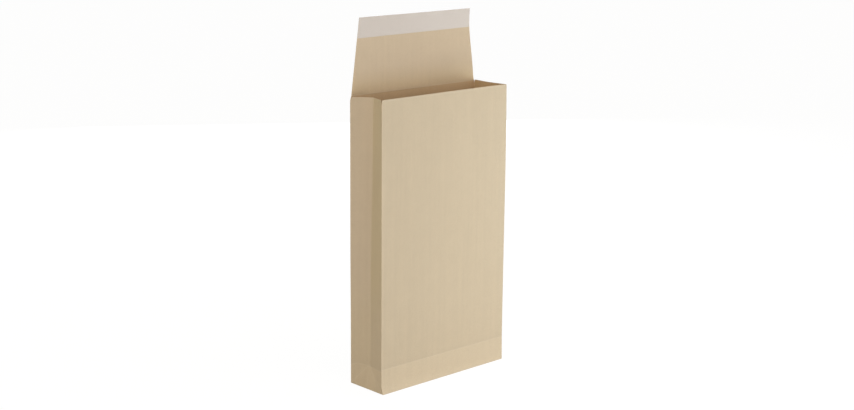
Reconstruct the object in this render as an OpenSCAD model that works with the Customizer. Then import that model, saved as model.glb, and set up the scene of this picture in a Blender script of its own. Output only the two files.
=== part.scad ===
// A kraft paper mailing envelope with side gussets and a block bottom, standing open.
// One sheet is folded into the body, the bottom and the tapered closing flap.
// The flap carries a strip of glue under a peel-off liner.
// The origin is under the middle of the bottom, the front faces -Y and +Z is up.

/* [Body] */
// Width of the front and back panels
body_width = 250; // [160:1:400]
// Depth of the bottom, which is also the width of each side gusset
body_depth = 74; // [44:1:120]
// Height of the front panel's top edge
front_height = 438; // [250:1:600]
// How far below that edge the crease of the flap lies
crease_drop = 2; // [0:0.5:8]
// Thickness of the paper
paper = 0.2; // [0.1:0.05:0.5]

/* [Closing flap] */
// Length of the flap from its crease to its free edge
flap_length = 112; // [60:1:200]
// How far each side of the flap closes in on the way to the free edge
flap_taper = 12.5; // [0:0.5:30]
// Step from each back fold to the flap's side at its crease
flap_shoulder = 2.5; // [1:0.5:6]
// Depth of the notch that ends each back fold below the crease
notch_depth = 8; // [3:0.5:12]
// Width of the notch on the gusset's side of the fold
notch_width = 3; // [1:0.5:5]
// How far the left gusset's cut edge ends below the flap's crease
gusset_drop = 1; // [0:0.5:5]
// How far the open flap leans forward at its free edge
flap_lean = 2; // [0:0.5:10]
// How far its right half settles back below the liner
flap_sag = 3; // [0:0.5:6]
// How far its right end curls forward again at the free edge
flap_curl = 4.5; // [0:0.5:8]

/* [Glue and liner] */
// Height of the glue strip
glue_height = 20; // [8:1:22]
// Step from the free edge to the glue
glue_step = 3; // [1:0.5:3.5]
// Thickness of the glue
glue = 0.1; // [0.05:0.05:0.3]
// Height of the peel-off liner, flush with the free edge
liner_height = 29; // [26:1:50]
// Thickness of the liner
liner = 0.1; // [0.05:0.05:0.2]

/* [Seam and bottom] */
// Width of the glued tab inside the right gusset
seam_tab = 12; // [6:1:20]
// How far the two bottom flaps lap over each other
bottom_lap = 20; // [8:1:30]

/* [How the paper stands] */
// Push-in of the left gusset's middle crease where it meets the bottom crease
fold_in_low = 7.5; // [0:0.5:14]
// Push-in of the same crease at the mouth
fold_in_mouth = 13.5; // [0:0.5:25]
// Bow of the left gusset's rear half at the mouth
rear_bow = 3; // [0:0.5:6]
// Set-back of the front panel at its left fold, at the bottom crease
front_left_low = 4.7; // [0:0.1:8]
// Set-back of the front panel at its left fold, at the mouth
front_left_mouth = 3.9; // [0:0.1:8]
// Set-back of the front panel at its right fold, at the bottom crease
front_right_low = 0.7; // [0:0.1:8]
// Set-back of the front panel at its right fold, at the mouth
front_right_mouth = 0.9; // [0:0.1:8]
// Step forward of the back panel at its left fold, at the mouth
back_left_mouth = 1; // [0:0.1:8]
// Step forward of the back panel at its right fold, at the mouth
back_right_mouth = 3.6; // [0:0.1:8]

/* [Hidden] */

kraft = "#CFB58C";
glue_tint = "#E9E2CF";
liner_tint = "#D3C9BE";

// The bottom's five layers of paper, counted from the floor up. Where no tuck lies between
// them, the back flap comes down by one layer and is glued to the front flap.
front_flap_layer = 0;
front_tuck_layer = 1;
back_flap_layer = 2;
back_tuck_layer = 3;
side_flap_layer = 4;
bottom_stack = 5 * paper;
// Length over which the back flap comes down.
joggle = 2;

back_height = front_height - crease_drop;
// The pre-crease around the body lies half a depth up, so that the bottom can fold flat.
crease_height = body_depth / 2;
bottom_flap = body_depth / 2 + bottom_lap / 2;
front_y = -body_depth / 2;
back_y = body_depth / 2;
side_x = body_width / 2;

// Grid of the sheet: cells across each panel, up to the crease, and on to the mouth.
panel_cells = 8;
gusset_cells = 8;
crease_rows = 4;
wall_rows = 6;
flap_rows = 6;
glue_rows = 5;

function mix(a, b, t) = a * (1 - t) + b * t;
function clamp01(t) = min(1, max(0, t));

// Share of the way from the bottom's layers to the crease, and from the crease to the mouth.
function low_share(z) = clamp01((z - bottom_stack) / (crease_height - bottom_stack));
function wall_share(z) = clamp01((z - crease_height) / (back_height - crease_height));
// A step that starts at the floor, reaches low at the crease and ends as mouth at the top.
function step_in(z, low, mouth) = low * low_share(z) + (mouth - low) * wall_share(z);

// The four upright folds at a height: front left, front right, back right, back left.
function front_left(z) = [-side_x, front_y + step_in(z, front_left_low, front_left_mouth)];
function front_right(z) = [side_x, front_y + step_in(z, front_right_low, front_right_mouth)];
function back_right(z) = [side_x, back_y - step_in(z, 0, back_right_mouth)];
function back_left(z) = [-side_x, back_y - step_in(z, 0, back_left_mouth)];

// Push-in of the left gusset, at a share s of the way from its back fold to its front fold.
// Below the crease it is bounded by the two 45-degree creases that rise from the corners.
function gusset_in(s, z) =
    let (half = 1 - abs(2 * s - 1))
    let (bow = s < 0.5 ? rear_bow * sin(180 * half) * wall_share(z) : 0)
    z <= crease_height
        ? fold_in_low * min(half, low_share(z))
        : mix(fold_in_low, fold_in_mouth, wall_share(z)) * half + bow;

// Stations round the body, counterclockwise from the front left fold: [panel, distance along it].
FRONT = 0;
RIGHT = 1;
BACK = 2;
LEFT = 3;
flap_base = body_width - 2 * flap_shoulder;
flap_top = flap_base - 2 * flap_taper;
stations = concat(
    [for (i = [0 : panel_cells - 1]) [FRONT, body_width * i / panel_cells]],
    [for (i = [0 : gusset_cells - 1]) [RIGHT, body_depth * i / gusset_cells]],
    [[RIGHT, body_depth - notch_width]],
    [[BACK, 0]],
    [for (i = [0 : panel_cells]) [BACK, flap_shoulder + flap_base * i / panel_cells]],
    [[LEFT, 0]],
    [[LEFT, notch_width]],
    [for (i = [1 : gusset_cells - 1]) [LEFT, body_depth * i / gusset_cells]]
);
station_count = len(stations);
flap_start = panel_cells + gusset_cells + 2;
flap_end = flap_start + panel_cells;

function outer_xy(station, z) =
    let (panel = station[0])
    let (far = station[1])
    panel == FRONT ? mix(front_left(z), front_right(z), far / body_width)
    : panel == RIGHT ? mix(front_right(z), back_right(z), far / body_depth)
    : panel == BACK ? mix(back_right(z), back_left(z), far / body_width)
    : mix(back_left(z), front_left(z), far / body_depth) + [gusset_in(far / body_depth, z), 0];

// The left-hand unit normal of the edge from a to b, which points into the body.
function inward(a, b) =
    let (run = b - a)
    [-run[1], run[0]] / norm(run);
// The inner face, one paper thickness inside both edges that meet at a station.
function inner_xy(i, z) =
    let (before = outer_xy(stations[(i + station_count - 1) % station_count], z))
    let (here = outer_xy(stations[i], z))
    let (after = outer_xy(stations[(i + 1) % station_count], z))
    let (bisector = inward(before, here) + inward(here, after))
    here + bisector * (2 * paper / (bisector * bisector));

// Height of the cut top edge: level across the front, falling along the gussets to the crease
// of the flap, with a notch at each back fold.
function top_z(station) =
    let (panel = station[0])
    let (far = station[1])
    panel == FRONT ? front_height
    : panel == RIGHT ? mix(front_height, back_height, far / body_depth)
    : panel == LEFT && far > 0 ? mix(back_height - gusset_drop, front_height, far / body_depth)
    : panel == BACK && far > 0 ? back_height
    : back_height - notch_depth;

// Heights of the sheet's rows: the floor, the bottom's layers, the crease, the wall, the top.
wall_top = back_height - notch_depth - 2;
levels = concat(
    [0],
    [for (j = [0 : crease_rows]) mix(bottom_stack, crease_height, j / crease_rows)],
    [for (j = [1 : wall_rows]) mix(crease_height, wall_top, j / wall_rows)]
);
row_count = len(levels) + 1;
function row_z(i, j) = j < len(levels) ? levels[j] : top_z(stations[i]);
function with_z(xy, z) = [xy[0], xy[1], z];

// A point of the flap: u runs from its right end to its left end, v from the crease to the free
// edge, and depth is measured forward from its back face.
function flap_point(u, v, depth) =
    let (half = mix(flap_base, flap_top, v) / 2)
    let (far = mix(flap_shoulder, body_width - flap_shoulder, u) / body_width)
    let (base = mix(back_right(back_height), back_left(back_height), far))
    let (lean = mix(flap_curl * pow(v, 4) - flap_sag * v, flap_lean * v, u))
    [half * (1 - 2 * u), base[1] - lean - depth, back_height + flap_length * v];

// Rows up the flap, which include the edges of the liner and of the glue.
liner_low = 1 - liner_height / flap_length;
glue_low = 1 - (glue_step + glue_height) / flap_length;
glue_high = 1 - glue_step / flap_length;
glue_shares = [for (r = [0 : glue_rows]) mix(glue_low, glue_high, r / glue_rows)];
liner_shares = concat([liner_low], glue_shares, [1]);
flap_shares = concat([for (r = [1 : flap_rows - 1]) liner_low * r / flap_rows], liner_shares);

// Two triangles of a four-cornered cell, split from a to c, or from b to d if it is falling.
function cell(a, b, c, d, falling = false) =
    falling ? [[a, b, d], [b, c, d]] : [[a, b, c], [a, c, d]];

// A thin curved plate on the flap, between two depths and over a list of its rows.
module flap_plate(shares, near, far) {
    columns = panel_cells + 1;
    rows = len(shares);
    top = rows - 1;
    end = panel_cells;
    face_points = columns * rows;
    points = [
        for (depth = [near, far])
            for (v = shares)
                for (k = [0 : panel_cells])
                    flap_point(k / panel_cells, v, depth)
    ];
    function at(side, r, k) = side * face_points + r * columns + k;
    faces = concat(
        [for (r = [0 : rows - 2]) for (k = [0 : panel_cells - 1])
            each cell(at(0, r, k), at(0, r + 1, k), at(0, r + 1, k + 1), at(0, r, k + 1))],
        [for (r = [0 : rows - 2]) for (k = [0 : panel_cells - 1])
            each cell(at(1, r, k), at(1, r, k + 1), at(1, r + 1, k + 1), at(1, r + 1, k))],
        [for (k = [0 : panel_cells - 1])
            each cell(at(0, 0, k), at(0, 0, k + 1), at(1, 0, k + 1), at(1, 0, k))],
        [for (k = [0 : panel_cells - 1])
            each cell(at(0, top, k), at(1, top, k), at(1, top, k + 1), at(0, top, k + 1))],
        [for (r = [0 : rows - 2])
            each cell(at(1, r, 0), at(1, r + 1, 0), at(0, r + 1, 0), at(0, r, 0))],
        [for (r = [0 : rows - 2])
            each cell(at(0, r, end), at(0, r + 1, end), at(1, r + 1, end), at(1, r, end))]
    );
    polyhedron(points, faces, convexity = 4);
}

// The body's four walls and the flap, as one closed skin with an outer and an inner face.
module walls_and_flap() {
    wall_points = station_count * row_count;
    columns = panel_cells + 1;
    flap_points = columns * len(flap_shares);
    points = concat(
        [for (j = [0 : row_count - 1]) for (i = [0 : station_count - 1])
            with_z(outer_xy(stations[i], row_z(i, j)), row_z(i, j))],
        [for (j = [0 : row_count - 1]) for (i = [0 : station_count - 1])
            with_z(inner_xy(i, row_z(i, j)), row_z(i, j))],
        [for (depth = [0, paper])
            for (v = flap_shares)
                for (k = [0 : panel_cells])
                    flap_point(k / panel_cells, v, depth)]
    );
    // Side 0 is the outer face and side 1 the inner one.
    function wall(side, i, j) = side * wall_points + j * station_count + i % station_count;
    // Row 0 of the flap is the top row of the back panel.
    function flap(side, r, k) =
        r == 0
            ? wall(side, flap_start + k, row_count - 1)
            : 2 * wall_points + side * flap_points + (r - 1) * columns + k;
    function falls(i) = stations[i][0] == LEFT && stations[i][1] >= body_depth / 2;
    last = row_count - 1;
    rows = len(flap_shares);
    end = panel_cells;
    under_flap = [for (i = [0 : station_count - 1]) i >= flap_start && i < flap_end];
    faces = concat(
        [for (j = [0 : last - 1]) for (i = [0 : station_count - 1])
            each cell(wall(0, i, j), wall(0, i, j + 1), wall(0, i + 1, j + 1), wall(0, i + 1, j),
                falls(i))],
        [for (j = [0 : last - 1]) for (i = [0 : station_count - 1])
            each cell(wall(1, i, j), wall(1, i + 1, j), wall(1, i + 1, j + 1), wall(1, i, j + 1),
                falls(i))],
        [for (i = [0 : station_count - 1])
            each cell(wall(0, i, 0), wall(0, i + 1, 0), wall(1, i + 1, 0), wall(1, i, 0))],
        [for (i = [0 : station_count - 1]) if (!under_flap[i])
            each cell(wall(0, i, last), wall(1, i, last), wall(1, i + 1, last), wall(0, i + 1, last))],
        [for (r = [0 : rows - 1]) for (k = [0 : panel_cells - 1])
            each cell(flap(0, r, k), flap(0, r + 1, k), flap(0, r + 1, k + 1), flap(0, r, k + 1))],
        [for (r = [0 : rows - 1]) for (k = [0 : panel_cells - 1])
            each cell(flap(1, r, k), flap(1, r, k + 1), flap(1, r + 1, k + 1), flap(1, r + 1, k))],
        [for (k = [0 : panel_cells - 1])
            each cell(flap(0, rows, k), flap(1, rows, k), flap(1, rows, k + 1), flap(0, rows, k + 1))],
        [for (r = [0 : rows - 1])
            each cell(flap(1, r, 0), flap(1, r + 1, 0), flap(0, r + 1, 0), flap(0, r, 0))],
        [for (r = [0 : rows - 1])
            each cell(flap(0, r, end), flap(0, r + 1, end), flap(1, r + 1, end), flap(1, r, end))]
    );
    polyhedron(points, faces, convexity = 8);
}

// The seam: the back panel runs on round its right fold as a tab inside the gusset.
module seam_tab() {
    root = paper / 2;
    tab_top = back_height - paper;
    function back_at(z) = back_right(z)[1] - root;
    outline = [
        [back_at(0), paper],
        [back_at(crease_height), crease_height],
        [back_at(back_height - notch_depth), back_height - notch_depth],
        [back_at(back_height) - flap_shoulder, tab_top],
        [back_at(back_height) - seam_tab, tab_top],
        [back_at(crease_height) - seam_tab, crease_height],
        [back_at(0) - seam_tab, paper]
    ];
    translate([side_x - 2 * paper, 0, 0])
        rotate([90, 0, 90])
            linear_extrude(height = 2 * paper - root)
                polygon(outline);
}

// One layer of the bottom, lying a whole number of paper thicknesses above the floor.
module bottom_layer(layer, outline) {
    translate([0, 0, layer * paper])
        linear_extrude(height = paper)
            polygon(outline);
}

// The block bottom, folded like a parcel's end: the side flaps go in first, with a triangular
// tuck at each corner, then the back flap and the front flap lap over them. The outlines start
// inside the walls' thickness and are drawn at the front left corner, then mirrored.
module bottom_folds() {
    root = paper / 2;
    x_end = side_x - root;
    y_end = back_y - root;
    reach = bottom_flap - root;
    x_in = x_end - reach;
    y_in = -y_end + reach;
    x_down = x_in - joggle;
    trapezoid = [[-x_end, -y_end], [x_end, -y_end], [x_in, y_in], [-x_in, y_in]];
    trapezoid_end = [[-x_end, -y_end], [-x_down, -y_end], [-x_down, y_in], [-x_in, y_in]];
    trapezoid_middle = [[-x_in, -y_end], [x_in, -y_end], [x_in, y_in], [-x_in, y_in]];
    tuck = [[-x_end, -y_end], [-x_in, -y_end], [-x_in, y_in]];
    side_flap = [[-x_end, -y_end], [-x_in, -y_end], [-x_in, y_end], [-x_end, y_end]];
    bottom_layer(front_flap_layer, trapezoid);
    mirror([0, 1, 0])
        bottom_layer(back_flap_layer - 1, trapezoid_middle);
    for (end = [0, 1])
        mirror([end, 0, 0]) {
            bottom_layer(front_tuck_layer, tuck);
            mirror([0, 1, 0]) {
                bottom_layer(back_flap_layer, trapezoid_end);
                bottom_layer(back_tuck_layer, tuck);
            }
            bottom_layer(side_flap_layer, side_flap);
        }
}

// The whole folded sheet: walls, flap, seam tab and bottom.
module folded_paper_body() {
    color(kraft)
        union() {
            walls_and_flap();
            seam_tab();
            bottom_folds();
        }
}

// The strip of pressure-sensitive glue along the flap's free edge.
module adhesive_strip() {
    color(glue_tint)
        flap_plate(glue_shares, paper, paper + glue);
}

// The siliconed liner that covers the glue until the envelope is closed.
module release_liner() {
    color(liner_tint)
        flap_plate(liner_shares, paper + glue, paper + glue + liner);
}

folded_paper_body();
adhesive_strip();
release_liner();
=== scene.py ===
"""A kraft mailing envelope with side gussets and a block bottom, standing open on a pale floor.

Lengths are in millimetres up to lay_mesh(), which turns them into metres. The sheet is described
in flat coordinates: s runs once round the body, from the glued seam over the back, the left
gusset, the front and the right gusset, and z runs up the sheet. The front faces -Y.
"""

import math

import bpy
import numpy as np
from mathutils import Matrix, Vector


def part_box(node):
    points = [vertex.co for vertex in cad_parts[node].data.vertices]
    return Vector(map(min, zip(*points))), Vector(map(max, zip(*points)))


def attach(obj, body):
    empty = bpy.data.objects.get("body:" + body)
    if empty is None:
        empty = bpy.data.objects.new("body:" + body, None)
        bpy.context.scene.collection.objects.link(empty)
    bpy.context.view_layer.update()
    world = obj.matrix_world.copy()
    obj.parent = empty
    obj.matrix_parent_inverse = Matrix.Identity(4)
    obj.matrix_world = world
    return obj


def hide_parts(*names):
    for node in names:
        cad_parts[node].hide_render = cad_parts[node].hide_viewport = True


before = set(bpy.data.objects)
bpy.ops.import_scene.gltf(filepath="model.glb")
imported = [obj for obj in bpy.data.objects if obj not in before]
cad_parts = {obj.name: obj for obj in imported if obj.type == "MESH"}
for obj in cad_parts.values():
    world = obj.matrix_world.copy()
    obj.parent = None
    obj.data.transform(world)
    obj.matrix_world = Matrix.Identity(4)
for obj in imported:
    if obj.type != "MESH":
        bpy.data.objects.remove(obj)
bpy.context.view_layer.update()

MM = 0.001

# Sizes that the parts in model.glb give
body_low, body_high = (np.array(corner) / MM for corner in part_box("folded_paper_body"))
WIDTH, DEPTH, FREE_EDGE = body_high[0] - body_low[0], body_high[1] - body_low[1], body_high[2]
HALF_WIDTH, HALF_DEPTH = WIDTH / 2, DEPTH / 2
LINER_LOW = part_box("release_liner")[0].z / MM
GLUE_LOW, GLUE_HIGH = (corner.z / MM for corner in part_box("adhesive_strip"))

# The sheet
PAPER = 0.2
FRONT_TOP = 438.0
BACK_TOP = 436.0
LEFT_GUSSET_TOP = 435.0
CREASE = HALF_DEPTH
BOTTOM_FLAP = HALF_DEPTH + 10.0
FOLD_RADIUS = 0.6
FLAP_LENGTH = FREE_EDGE - BACK_TOP

# Seam tab and the flap's outline
TAB = 12.0
TAB_TOP = 437.15
TAB_SLOPE = 0.5
TAB_ROUND = 2.2
TAB_EDGE = 0.4
SEAM_MARGIN = 1.0
SEAM_CLEARANCE = 0.02
SHOULDER = 2.5
RIGHT_SHOULDER = 0.8
SHOULDER_FLARE = 1.9
FLARE_REACH = 4.5
FLARE_POWER = 8
TAPER = (10.8, 13.6)

# Notches at the back folds, the nick beside the front left one, and how the cut edge rises and
# falls at the mouth
NOTCH_WIDTH = 3.0
LEFT_NOTCH = 8.0
RIGHT_NOTCH = 4.5
NICK_DEPTH = 5.0
NICK_SHIFT = 1.6
NICK_WIDTH = 2.6
CORNER_DROP = 0.8
LEFT_CORNER_RUN = 2.2
RIGHT_CORNER_RUN = 30.0
FRONT_CROWN = 0.35
GUSSET_CROWN = 1.1

# How the open flap stands
FLAP_LEAN = 2.0
FLAP_SAG = 3.0
FLAP_CURL = 4.5
FLAP_CALM = 0.2
SCORE_DEPTH = 0.16
SCORE_REACH = 0.8

# Glue and liner on the flap
GLUE = 0.1
LINER = 0.1
LINER_SEAT = 0.03
LINER_STEP = 1.0
LINER_TILT = (0.4, -0.8)

# How the body stands: set-backs of the folds, at the pre-crease and at the mouth
FRONT_LEFT_IN = (4.4, 4.0)
FRONT_RIGHT_IN = (0.7, 0.9)
BACK_RIGHT_IN = (0.0, 3.6)
BACK_LEFT_IN = (0.0, 1.0)
LEFT_GUSSET_IN = (5.5, 14.0)
MIDDLE_FORWARD = (2.7, 0.8)
RIGHT_GUSSET_IN = (0.6, 0.6)
CREASE_HALF = 2.0
CORNER_FLARE = 14.0
LEFT_SWELL = 0.5
LEFT_SWELL_START = 2.5 * CREASE
LEFT_SWELL_SPAN = 3 * CREASE
RIGHT_SWELL = 1.2
RIGHT_SWELL_POWER = 2.3
POCKET_ROUND = 0.04

# How its panels bow and buckle
FRONT_BOW = 1.2
BACK_BOW = 0.9
BOW_RISE = 60
MOUTH_CALM = 50
VALLEY_DEPTH = 0.45
VALLEY_REACH = 9.0
VALLEY_ROUND = 0.8
VALLEY_ENDS = 6
BUCKLE = 0.25
WAVE_LENGTHS = (210, 160, 120, 90, 70)
WALL_SEED, FLAP_SEED = 7, 11

# Corners of the sheet along s, and half the width over which each fold turns
BACK, LEFT, FRONT, RIGHT = range(4)
PANEL_STARTS = np.array([0, WIDTH, WIDTH + DEPTH, 2 * WIDTH + DEPTH])
SHEET_END = 2 * (WIDTH + DEPTH)
FOLDS = np.sort(np.append(PANEL_STARTS, PANEL_STARTS[[1, 3]] + HALF_DEPTH))
FOLD_HALVES = (0.6, 0.6, 1.5, 0.65, 0.65, 1.0)
OUTWARD = np.array([[0, 1, 0], [-1, 0, 0], [0, -1, 0], [1, 0, 0]], float)

# Height of the outer face of each panel's bottom flap: the front flap lies on the floor, the
# back one over two layers of paper and the side ones over four. Then how far in the flaps come
# to their levels, and over what length the back one comes down past the tucks.
FLAP_LEVELS = PAPER * np.array([2, 4, 0, 4])
LEVEL_RUN = 3
TUCK_END_RUN = 2

# Columns of the sheet's grid: counts of even ones, and distances of the others from a fold
WIDE_COLUMNS, NARROW_COLUMNS, TAB_COLUMNS = 51, 41, 7
FOLD_STEPS = (0.15, 0.35, 0.6, 0.8, 1.1, 1.5, 2.2, 3.0)

# Its rows, from the bottom up: insets of the bottom flaps' ones, then counts of even ones and
# distances of the others from the pre-crease, the mouth and the flap's crease. From
# FOLLOW_START on, rows bend more and more to follow the cut edge.
INSETS = (BOTTOM_FLAP, 40, 32, 24, 16, 10, 6, 3.6, 2.4, 1.5, 1.0)
TURN_ROWS, LOW_ROWS, WALL_ROWS, GLUE_ROWS = 5, 21, 62, 7
CREASE_STEPS = (0.4, 0.8, 1.3, 2.0, 3.0)
WALL_ENDS = (CREASE + 5, FRONT_TOP - 18)
MOUTH_STEPS = (15, 12, 10, 8, 6.5, 5, 4, 3, 2.2, 1.5, 0.9, 0.4, 0)
FLAP_STEPS = (0.5, 1, 1.6, 2.5, 4, 6, 9)
FLAP_EVEN_START, FLAP_EVEN_STEP = 13, 6
FOLLOW_START = FRONT_TOP - 40

# What is left of the bottom fold's turn at a corner, how far from one the bottom flaps start,
# and the play with which a film on the flap picks its rows
CORNER_TURN = 0.35
CORNER_GAP = FOLD_RADIUS - 0.05
FILM_PLAY = 0.01

# The tucks: their first and last row as shares, their counts of rows and columns, and how much
# of the paper's thickness they keep
TUCK_ENDS = (0.012, 0.985)
TUCK_ROWS, TUCK_COLUMNS, HEM_COLUMNS = 24, 8, 6
TUCK_PLAY = 0.98

SHARP_ANGLE = math.radians(50)


def soft_ramp(distance, half):
    """Nothing before -half, the distance itself after half, and a parabola that joins them."""
    curve = (distance + half) ** 2 / (4 * half)
    return np.where(distance <= -half, 0.0, np.where(distance >= half, distance, curve))


def smooth_step(t):
    """The cubic that leaves 0 and reaches 1 level."""
    t = np.clip(t, 0, 1)
    return t * t * (3 - 2 * t)


def set_back(z, at_crease, at_mouth):
    """A line that rises from nothing at the floor to one value at the pre-crease, and bends
    softly there towards the other at the mouth."""
    below = at_crease / CREASE
    above = (at_mouth - at_crease) / (BACK_TOP - CREASE)
    return below * z + (above - below) * soft_ramp(z - CREASE, CREASE_HALF)


def fold_places(z):
    """Plan position, at each height, of every corner of the sheet from the tab's cut edge to the
    right gusset's. The tab lies one paper inside that gusset. The front left corner stands
    nearly upright under the pre-crease and flares out to the floor by a parabola. The back left
    one swells a little above it, and the front right one by an arch of a sine, most of all
    towards the mouth."""
    def corner(x, y):
        return np.stack(np.broadcast_arrays(x, y), -1)

    flare = 1 - np.clip(1 - z / CORNER_FLARE, 0, 1) ** 2
    upright = FRONT_LEFT_IN[0] * np.maximum(flare - z / CREASE, 0)
    left_swell = LEFT_SWELL * smooth_step((z - LEFT_SWELL_START) / LEFT_SWELL_SPAN)
    risen = np.clip(z / FRONT_TOP, 0, 1) ** RIGHT_SWELL_POWER
    right_swell = RIGHT_SWELL * np.sin(math.pi * risen)
    back_right = corner(HALF_WIDTH, HALF_DEPTH - set_back(z, *BACK_RIGHT_IN))
    back_left = corner(-HALF_WIDTH - left_swell, HALF_DEPTH - set_back(z, *BACK_LEFT_IN))
    front_left = corner(-HALF_WIDTH, set_back(z, *FRONT_LEFT_IN) + upright - HALF_DEPTH)
    front_right = corner(HALF_WIDTH + right_swell, set_back(z, *FRONT_RIGHT_IN) - HALF_DEPTH)
    push = corner(set_back(z, *LEFT_GUSSET_IN), -set_back(z, *MIDDLE_FORWARD))
    left_middle = (back_left + front_left) / 2 + push
    right_middle = (back_right + front_right) / 2 - corner(set_back(z, *RIGHT_GUSSET_IN), 0)
    seam = back_right - np.array([PAPER + SEAM_CLEARANCE, 0])
    tab_edge = seam + (right_middle - back_right) * TAB / HALF_DEPTH
    return [tab_edge, seam, back_left, left_middle, front_left, front_right, right_middle,
            back_right]


def panel_share(s):
    """The panel that each s lies on, and how far across it, from 0 to 1."""
    panel = np.clip(np.searchsorted(PANEL_STARTS, s, side="right") - 1, BACK, RIGHT)
    width = np.where(panel % 2 == 0, WIDTH, DEPTH)
    return panel, np.clip((s - PANEL_STARTS[panel]) / width, 0, 1)


def slow_waves(s, z, seed):
    """A sum of plane sine waves, each with a direction and a phase drawn from the seed, and as
    high as it is long beside the longest."""
    draw = np.random.default_rng(seed)
    total = 0.0
    for wave_length in WAVE_LENGTHS:
        angle, phase = draw.uniform(0, 2 * math.pi, 2)
        path = s * math.cos(angle) + z * math.sin(angle)
        height = wave_length / WAVE_LENGTHS[0]
        total = total + height * np.sin(2 * math.pi * path / wave_length + phase)
    return total


def stand_proud(s, z):
    """How far the paper stands out of its panel's plane: parabolic bows of the wide panels, a
    valley along the pre-crease that fades as an exponential, and slow waves that die out at every
    fold, at the crease and at the mouth."""
    panel, across = panel_share(s)
    arch = 4 * across * (1 - across)
    risen = smooth_step((z - CREASE) / BOW_RISE)
    mouth = smooth_step((BACK_TOP - z) / MOUTH_CALM)
    proud = np.where(panel == FRONT, FRONT_BOW, 0.0) * arch * risen
    proud = proud - np.where(panel == BACK, BACK_BOW, 0.0) * arch * risen * mouth
    valley = np.exp(-np.hypot(z - CREASE, VALLEY_ROUND) / VALLEY_REACH)
    proud = proud - VALLEY_DEPTH * valley * np.clip(VALLEY_ENDS * arch, 0, 1)
    calm = np.where(panel == BACK, mouth, 1.0) * arch * risen
    return proud + BUCKLE * calm * slow_waves(s, z, WALL_SEED)


def gusset_pocket(s, z):
    """Below the pre-crease the left gusset turns on two 45-degree creases that rise from the
    bottom corners: under them it leans in with the height, beside them with the distance from
    its fold. This is what that adds to the plain fold, as a share of the push-in."""
    panel, across = panel_share(s)
    half = 1 - np.abs(2 * across - 1)
    low = np.clip(z / CREASE, 0, 1)
    smaller = half - soft_ramp(half - low, POCKET_ROUND)
    return np.where((panel == LEFT) & (z < CREASE), smaller - half * low, 0.0)


def wall_points(s, z):
    """The sheet's outer face over the body: straight panels from corner to corner, where each
    change of direction is spread over the fold's width by a soft ramp."""
    corners = fold_places(z)
    starts = np.concatenate([[-TAB], FOLDS, [SHEET_END]])
    runs = [(after - before) / span
            for before, after, span in zip(corners, corners[1:], np.diff(starts))]
    plan = corners[0] + runs[0] * (s + TAB)[..., None]
    for before, after, fold, half in zip(runs, runs[1:], FOLDS, FOLD_HALVES):
        plan = plan + (after - before) * soft_ramp(s - fold, half)[..., None]
    points = np.concatenate([plan, z[..., None]], -1)
    panel, _ = panel_share(s)
    points += OUTWARD[panel] * stand_proud(s, z)[..., None]
    points[..., 0] += LEFT_GUSSET_IN[0] * gusset_pocket(s, z)
    return points


def top_edge(s):
    """Height of the cut edge: crowned a little over the front and lower at its ends, falling
    along the left gusset and crowned over the right one. It is notched at the back folds and
    nicked beside the front left one, and the tab is round at its shoulder and falls to its free
    side."""
    turn = np.linspace(0, math.pi / 2, 6)
    tab_round = zip(-TAB_EDGE - TAB_ROUND * (1 - np.sin(turn)),
                    TAB_TOP - TAB_ROUND * (1 - np.cos(turn)))
    _, back_left, front_left, front_right = PANEL_STARTS
    nick = front_left - NICK_SHIFT
    knots = [
        (-TAB, TAB_TOP - TAB_SLOPE), (-TAB / 2, TAB_TOP), *tab_round,
        (0, BACK_TOP - RIGHT_NOTCH), (RIGHT_SHOULDER, BACK_TOP),
        (back_left - SHOULDER, BACK_TOP), (back_left, BACK_TOP - LEFT_NOTCH),
        (back_left + NOTCH_WIDTH, LEFT_GUSSET_TOP), (nick - NICK_WIDTH, FRONT_TOP),
        (nick - NICK_WIDTH / 2, FRONT_TOP - NICK_DEPTH),
        (nick + NICK_WIDTH / 2, FRONT_TOP - NICK_DEPTH),
        (front_left, FRONT_TOP - CORNER_DROP), (front_left + LEFT_CORNER_RUN, FRONT_TOP),
        (front_left + WIDTH / 2, FRONT_TOP + FRONT_CROWN),
        (front_right - RIGHT_CORNER_RUN, FRONT_TOP), (front_right, FRONT_TOP - CORNER_DROP),
        (SHEET_END - RIGHT_CORNER_RUN, BACK_TOP + GUSSET_CROWN / 2),
        (SHEET_END - NOTCH_WIDTH, BACK_TOP + GUSSET_CROWN),
        (SHEET_END, BACK_TOP - RIGHT_NOTCH),
    ]
    return np.interp(s, *zip(*knots))


def both_sides(centres, steps):
    """Every centre, with every step added and taken away."""
    steps = np.array(steps)
    return (np.array(centres)[:, None] + np.concatenate([-steps, [0], steps])).ravel()


def spread(places, gap):
    """The places in order, without those that lie nearer to the one before than a gap."""
    places = np.unique(np.round(np.concatenate(places), 3))
    return places[np.diff(places, prepend=-np.inf) > gap]


def column_places():
    """Columns of the sheet's grid: even steps across each panel, and close ones at the folds."""
    wide, narrow = np.linspace(0, WIDTH, WIDE_COLUMNS), np.linspace(0, DEPTH, NARROW_COLUMNS)
    _, back_left, front_left, front_right = PANEL_STARTS
    places = spread([
        wide, back_left + narrow, front_left + wide, front_right + narrow,
        np.linspace(-TAB, 0, TAB_COLUMNS), both_sides(FOLDS, FOLD_STEPS),
        [RIGHT_SHOULDER, back_left - SHOULDER, SHEET_END - NOTCH_WIDTH, SHEET_END - SEAM_MARGIN],
    ], 0.05)
    return places[places <= SHEET_END - SEAM_MARGIN]


def row_heights():
    """Rows of the walls: close together at the pre-crease and at the mouth."""
    below = np.linspace(0, CREASE, LOW_ROWS)[1:]
    wall = np.linspace(*WALL_ENDS, WALL_ROWS)
    mouth = FRONT_TOP - np.array(MOUTH_STEPS)
    return spread([[FOLD_RADIUS], below, both_sides([CREASE], CREASE_STEPS), wall, mouth], 0.2)


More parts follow.
